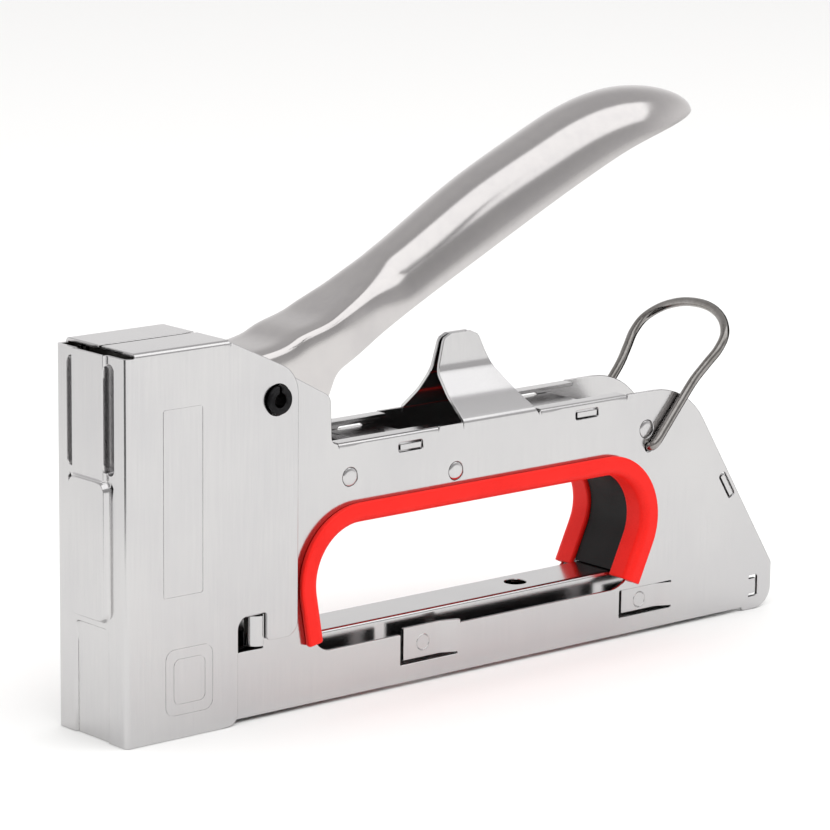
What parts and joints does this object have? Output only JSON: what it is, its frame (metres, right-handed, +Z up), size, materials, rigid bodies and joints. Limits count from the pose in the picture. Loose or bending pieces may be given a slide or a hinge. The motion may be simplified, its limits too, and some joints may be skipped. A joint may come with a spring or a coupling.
{
  "type": "staple gun",
  "caption": "Hand staple gun with a pressed steel body, squeeze handle over a spring-driven plunger, hand opening with grip trims, slide-out magazine and wire bail.",
  "frame": {"origin": "centre of the base, half way from the nose pads to the rear edge, on the surface that the nose foot and the rear feet stand on", "axes": "+X towards the rear, nose at -X; +Y towards the right side seen from behind; +Z up, the way the handle opens"},
  "size_m": [0.2066, 0.0326, 0.1357],
  "materials": {
    "plated_steel": "bright nickel-plated sheet steel",
    "handle_steel": "polished nickel-plated pressed steel",
    "black_steel": "blackened steel",
    "red_grip": "moulded red plastic, satin",
    "black_plastic": "moulded black plastic",
    "rubber": "black rubber",
    "tool_steel": "ground steel, oiled",
    "spring_wire": "drawn spring wire"
  },
  "bodies": {
    "frame": {"nose_cover": "plated_steel", "right_side_plate": "plated_steel", "left_side_plate": "plated_steel", "pivot_pin": "black_steel", "right_grip_trim": "red_grip", "left_grip_trim": "red_grip", "grip_liner": "black_plastic", "front_bridge": "plated_steel", "rear_bridge": "plated_steel", "front_rivet": "plated_steel", "middle_rivet": "plated_steel", "rear_rivet": "plated_steel", "rear_cover": "plated_steel", "magazine_channel": "plated_steel", "driver_guide": "tool_steel", "nose_block": "tool_steel", "bumper": "rubber", "spring_seat": "tool_steel", "main_spring": "spring_wire"},
    "handle": {"handle_shell": "handle_steel", "handle_bush": "tool_steel", "lift_arm": "tool_steel"},
    "plunger": {"plunger": "tool_steel", "striker_blade": "tool_steel", "lower_blade_rivet": "tool_steel", "upper_blade_rivet": "tool_steel"},
    "bail": {"bail": "spring_wire"},
    "magazine": {"magazine_core": "tool_steel", "magazine_tail": "tool_steel", "guide_rod": "tool_steel", "pusher_spring": "spring_wire", "release_pin": "tool_steel"},
    "pusher": {"pusher": "tool_steel"},
    "release_lever": {"release_lever": "black_steel"}
  },
  "joints": [
    {"name": "handle_pivot", "type": "hinge", "parent": "frame", "child": "handle", "pos_m": [-0.059, 0, 0.0745], "axis": [0, 1, 0], "range_deg": [0, 18], "stiffness_Nm_per_rad": 8, "springref_deg": -17.19},
    {"name": "plunger_lift", "type": "slide", "parent": "frame", "child": "plunger", "axis": [0, 0, 1], "range_m": [0, 0.0119], "deforming": ["main_spring"]},
    {"name": "bail_swing", "type": "hinge", "parent": "frame", "child": "bail", "pos_m": [0.0591, 0, 0.0475], "axis": [0, 1, 0], "range_deg": [-95, 70]},
    {"name": "magazine_slide", "type": "slide", "parent": "frame", "child": "magazine", "axis": [1, 0, 0], "range_m": [0, 0.12]},
    {"name": "pusher_slide", "type": "slide", "parent": "magazine", "child": "pusher", "axis": [1, 0, 0], "range_m": [0, 0.13], "stiffness_N_per_m": 25, "springref_m": -0.05, "deforming": ["pusher_spring"]},
    {"name": "release_lever_press", "type": "hinge", "parent": "magazine", "child": "release_lever", "pos_m": [0.0933, 0, 0.01], "axis": [0, 1, 0], "range_deg": [0, 10], "stiffness_Nm_per_rad": 0.05, "springref_deg": -5.73}
  ],
  "couplings": [
    {"joint": "plunger_lift", "follows": "handle_pivot", "m_per_rad": 0.03784}
  ]
}
